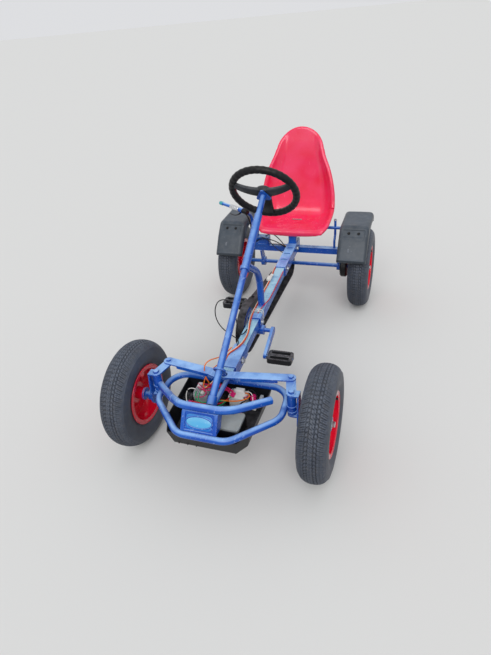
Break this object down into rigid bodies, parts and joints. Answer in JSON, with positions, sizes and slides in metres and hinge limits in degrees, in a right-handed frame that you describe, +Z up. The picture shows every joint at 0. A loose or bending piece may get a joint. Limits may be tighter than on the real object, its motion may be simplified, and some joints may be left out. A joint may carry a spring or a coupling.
{
  "type": "electric go-kart",
  "caption": "Four-wheeled electric go-kart with a tube frame, bucket seat, steering wheel, pedal crank, chain guard and an open electronics tray.",
  "frame": {"origin": "floor point under the middle of the kart's length and width", "axes": "+Z up, -Y is the way the kart drives, +X is the driver's left"},
  "size_m": [0.8022, 1.5629, 0.8876],
  "materials": {
    "blue_paint": "worn blue enamel",
    "red_paint": "red enamel",
    "tyre_rubber": "block tread, dusty",
    "seat_plastic": "moulded red plastic",
    "fender_plastic": "grained dark grey",
    "guard_plastic": "dusty black",
    "grip_plastic": "black foam-like moulding",
    "pedal_plastic": "dusty black",
    "motor_black": "black",
    "tray_plastic": "black tub",
    "module_grey": "plain grey",
    "cable_black": "smooth black insulation",
    "wire_orange": "coloured hook-up wire",
    "module_white": "plain white"
  },
  "bodies": {
    "chassis": {"axle_carriers": "blue_paint", "axle_loop": "blue_paint", "battery_block": "module_grey", "beam_loom": "cable_black", "bumper_bar": "blue_paint", "bumper_plate": "blue_paint", "cable_loop": "cable_black", "column_sleeve": "blue_paint", "column_strut": "blue_paint", "column_support": "blue_paint", "crank_housing": "blue_paint", "cross_tube": "blue_paint", "drive_motor": "motor_black", "fender_left": "fender_plastic", "fender_right": "fender_plastic", "front_sleeve": "blue_paint", "guard_front": "guard_plastic", "guard_rear": "guard_plastic", "main_beam": "blue_paint", "motor_controller": "module_grey", "relay_box": "module_white", "seat_slide": "blue_paint", "stay_bar": "blue_paint", "tray": "tray_plastic", "tray_wires": "wire_orange"},
    "steering": {"steering_column": "blue_paint", "wheel_plate": "blue_paint", "steering_wheel": "grip_plastic"},
    "crank": {"crank": "blue_paint"},
    "knuckle_left": {"knuckle_left": "blue_paint"},
    "tie_rod_left": {"tie_rod_left": "blue_paint"},
    "front_wheel_left": {"tyre_front_left": "tyre_rubber", "rim_front_left": "red_paint"},
    "pedal_left": {"pedal_left": "pedal_plastic"},
    "knuckle_right": {"knuckle_right": "blue_paint"},
    "tie_rod_right": {"tie_rod_right": "blue_paint"},
    "front_wheel_right": {"tyre_front_right": "tyre_rubber", "rim_front_right": "red_paint"},
    "pedal_right": {"pedal_right": "pedal_plastic"},
    "rear_wheel_left": {"rear_axle": "blue_paint", "tyre_rear_left": "tyre_rubber", "rim_rear_left": "red_paint"},
    "rear_wheel_right": {"tyre_rear_right": "tyre_rubber", "rim_rear_right": "red_paint"},
    "hand_lever": {"hand_lever": "blue_paint", "lever_bar": "blue_paint", "lever_cable": "cable_black"},
    "seat": {"seat": "seat_plastic", "seat_post": "blue_paint"}
  },
  "joints": [
    {"name": "steering_turn", "type": "hinge", "parent": "chassis", "child": "steering", "pos_m": [0, 0.0555, 0.752], "axis": [0, 0.8471, 0.5314], "range_deg": [-35, 35]},
    {"name": "knuckle_left_turn", "type": "hinge", "parent": "chassis", "child": "knuckle_left", "pos_m": [0.25, -0.5685, 0.315], "axis": [0, 0, 1], "range_deg": [-26.77, 26.77]},
    {"name": "tie_rod_left_turn", "type": "hinge", "parent": "knuckle_left", "child": "tie_rod_left", "pos_m": [0.232, -0.4985, 0.3155], "axis": [0, 0, 1], "range_deg": [-28.93, 28.93]},
    {"name": "front_wheel_left_roll", "type": "hinge", "parent": "knuckle_left", "child": "front_wheel_left", "pos_m": [0.35, -0.5685, 0.202], "axis": [1, 0, 0], "continuous": true},
    {"name": "rear_wheel_left_roll", "type": "hinge", "parent": "chassis", "child": "rear_wheel_left", "pos_m": [0.3415, 0.5795, 0.202], "axis": [1, 0, 0], "continuous": true},
    {"name": "pedal_left_spin", "type": "hinge", "parent": "crank", "child": "pedal_left", "pos_m": [0.07, -0.27808, 0.22212], "axis": [1, 0, 0], "continuous": true},
    {"name": "knuckle_right_turn", "type": "hinge", "parent": "chassis", "child": "knuckle_right", "pos_m": [-0.25, -0.5685, 0.315], "axis": [0, 0, 1], "range_deg": [-26.77, 26.77]},
    {"name": "tie_rod_right_turn", "type": "hinge", "parent": "knuckle_right", "child": "tie_rod_right", "pos_m": [-0.232, -0.4985, 0.3155], "axis": [0, 0, 1], "range_deg": [-28.93, 28.93]},
    {"name": "front_wheel_right_roll", "type": "hinge", "parent": "knuckle_right", "child": "front_wheel_right", "pos_m": [-0.35, -0.5685, 0.202], "axis": [1, 0, 0], "continuous": true},
    {"name": "rear_wheel_right_roll", "type": "hinge", "parent": "chassis", "child": "rear_wheel_right", "pos_m": [-0.3415, 0.5795, 0.202], "axis": [1, 0, 0], "continuous": true},
    {"name": "pedal_right_spin", "type": "hinge", "parent": "crank", "child": "pedal_right", "pos_m": [-0.07, -0.03692, 0.30188], "axis": [1, 0, 0], "continuous": true},
    {"name": "crank_turn", "type": "hinge", "parent": "chassis", "child": "crank", "pos_m": [0, -0.1575, 0.262], "axis": [1, 0, 0], "continuous": true},
    {"name": "hand_lever_pull", "type": "hinge", "parent": "chassis", "child": "hand_lever", "pos_m": [-0.2248, 0.5435, 0.33575], "axis": [1, 0, 0], "range_deg": [0, 20]},
    {"name": "seat_adjust", "type": "slide", "parent": "chassis", "child": "seat", "axis": [0, -1, -0.0007], "range_m": [0, 0.177]}
  ],
  "couplings": [
    {"joint": "knuckle_left_turn", "follows": "steering_turn", "ratio": 0.7633},
    {"joint": "tie_rod_left_turn", "follows": "steering_turn", "ratio": -0.8252},
    {"joint": "knuckle_right_turn", "follows": "steering_turn", "ratio": 0.7633},
    {"joint": "tie_rod_right_turn", "follows": "steering_turn", "ratio": -0.8252}
  ]
}
